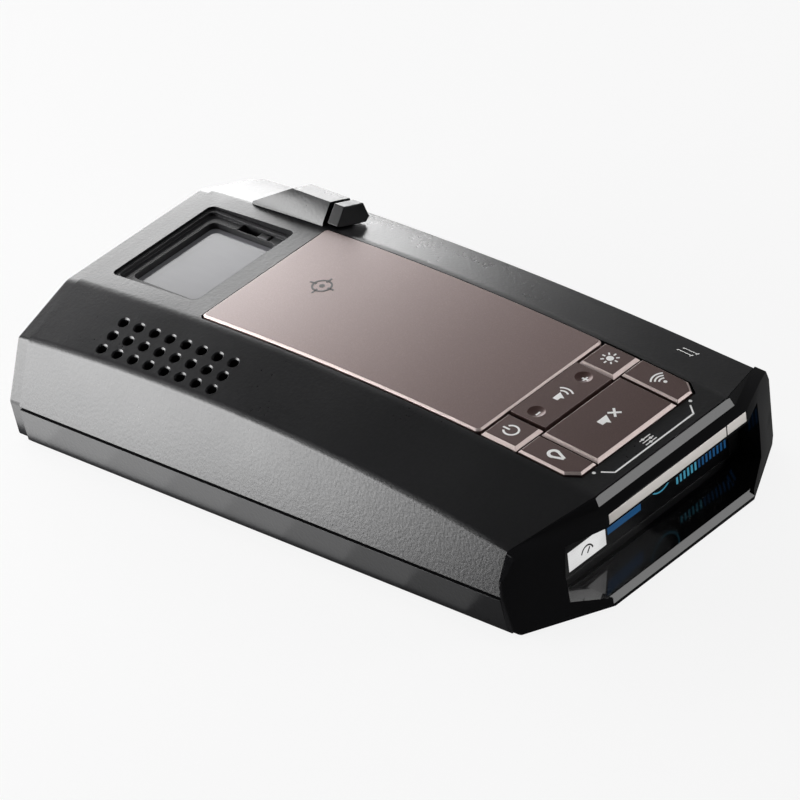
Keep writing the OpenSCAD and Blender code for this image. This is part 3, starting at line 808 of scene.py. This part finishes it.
# ---------------------------------------------------------------- parts inside
def build_inside():
    shown = {
        "rocker_pin": 0.05, "button_frame": 0.1, "button_mat": 0.08, "tact_switches": 0.12,
        "keypad_board": 0.08, "dock_magnets": 0.2, "display_holder": 0.15, "display_flex": 0.03,
        "main_board": 0.08, "shield_can": 0.2, "waveguide_block": 0.2, "horn_antenna": 0.12,
        "laser_sensor": 0.2, "laser_lens": 0.3, "gps_antenna": 0.25, "gps_board": 0.08,
        "speaker_frame": 0.2, "speaker_cone": 0.1, "speaker_magnet": 0.25, "speaker_mesh": 0.03,
        "board_screws": 0.1,
    }
    for node, width in shown.items():
        dressed(node, width=width * MM, segments=2)


build_case()
build_keys()
print_keys()
print_rocker()
print_deck()
build_display()
build_dock()
build_sockets()
build_screws()
build_inside()


# ---------------------------------------------------------------- studio
# Lights that lie on the floor are this far above it
CARD_HEIGHT = 0.5 * MM


def soft_light(name, centre, aim, width, height, radiance):
    """A soft box of a given brightness that faces a point."""
    data = bpy.data.lights.new(name, "AREA")
    data.shape = "RECTANGLE"
    data.size = width
    data.size_y = height
    data.energy = radiance * math.pi * width * height
    light = bpy.data.objects.new(name, data)
    bpy.context.scene.collection.objects.link(light)
    light.location = centre
    light.rotation_mode = "QUATERNION"
    light.rotation_quaternion = (Vector(aim) - Vector(centre)).to_track_quat("-Z", "Y")
    light.visible_camera = False
    return light


def build_floor():
    bm = bmesh.new()
    bmesh.ops.create_grid(bm, x_segments=4, y_segments=4, size=4)
    for vertex in bm.verts:
        vertex.co.z = -0.05 * MM
    mesh = bpy.data.meshes.new("floor")
    bm.to_mesh(mesh)
    bm.free()
    floor = bpy.data.objects.new("floor", mesh)
    bpy.context.scene.collection.objects.link(floor)

    def recipe(at):
        cloud = at.noise(6, 1)
        return {
            "Base Color": cloud.between((0.06, 0.06, 0.06), (0.065, 0.065, 0.065)),
            "Emission Color": cloud.between((0.87, 0.87, 0.87), (0.88, 0.88, 0.88)),
        }

    sweep = paint("floor_paint", recipe, Roughness=0.9, Specular_IOR_Level=0.0, Emission_Strength=1.0)
    mesh.materials.append(sweep)
    floor.visible_glossy = False


def bearing(azimuth, elevation, distance):
    """A place seen from the object: azimuth from straight ahead towards the right, in degrees."""
    turn, rise = math.radians(azimuth), math.radians(elevation)
    flat = math.cos(rise) * distance
    return Vector((math.sin(turn) * flat, math.cos(turn) * flat, math.sin(rise) * distance))


def floor_card(name, x, y, width, length, radiance):
    """A soft light that lies on the floor and shines up, for the surfaces that lean outwards."""
    soft_light(name, (x, y, CARD_HEIGHT), (x, y, 1), width, length, radiance)


def low_cards():
    """Cards beside the lower half, dimmer step by step towards the front."""
    x, width, step = -0.1025, 0.126, 0.015
    floor_card("low_card", x, 0.14, width, 0.16, 3.3)
    for i in range(8):
        floor_card(f"low_card_{i}", x, 0.0525 - step * i, width, step, 2.7 - 0.38 * i)


def build_studio():
    build_floor()
    middle = (0, 0, 0.02)
    panel = bearing(20, 0, 1.5)
    soft_light("back_panel", panel + Vector((0, 0, 0.5)), (0, 0, 0.5), 1.7, 1.0, 7.0)
    soft_light("right_rear_box", bearing(48, 6, 1.3), middle, 0.3, 0.26, 8.8)
    soft_light("front_strip", bearing(137, 18, 1.4), middle, 0.6, 0.75, 4.5)
    soft_light("left_rear_box", bearing(-43, 38, 1.2), middle, 0.5, 0.36, 1.2)
    side_way = Vector((-0.812, 0.58, 0))
    edge_way = Vector((0.58, 0.812, 0))
    card = side_way * 0.26 + edge_way * 0.12 + Vector((-0.03, 0, 0.07))
    soft_light("side_card", card, card - side_way, 0.3, 0.14, 14.0)
    low_cards()
    floor_card("rear_card", 0, 0.27, 0.4, 0.36, 3.0)
    floor_card("front_low_card", 0.11, -0.19, 0.22, 0.2, 1.9)
    fill = soft_light("overhead", (0.1, 0.1, 1.9), middle, 1.1, 1.1, 2.4)
    fill.visible_glossy = False
    world = bpy.data.worlds.new("room")
    world.use_nodes = True
    sky = world.node_tree.nodes["Background"]
    sky.inputs["Color"].default_value = (1, 1, 1, 1)
    sky.inputs["Strength"].default_value = 0.06
    bpy.context.scene.world = world
    bpy.context.scene.view_settings.view_transform = "Standard"
    bpy.context.scene.view_settings.look = "None"


build_studio()
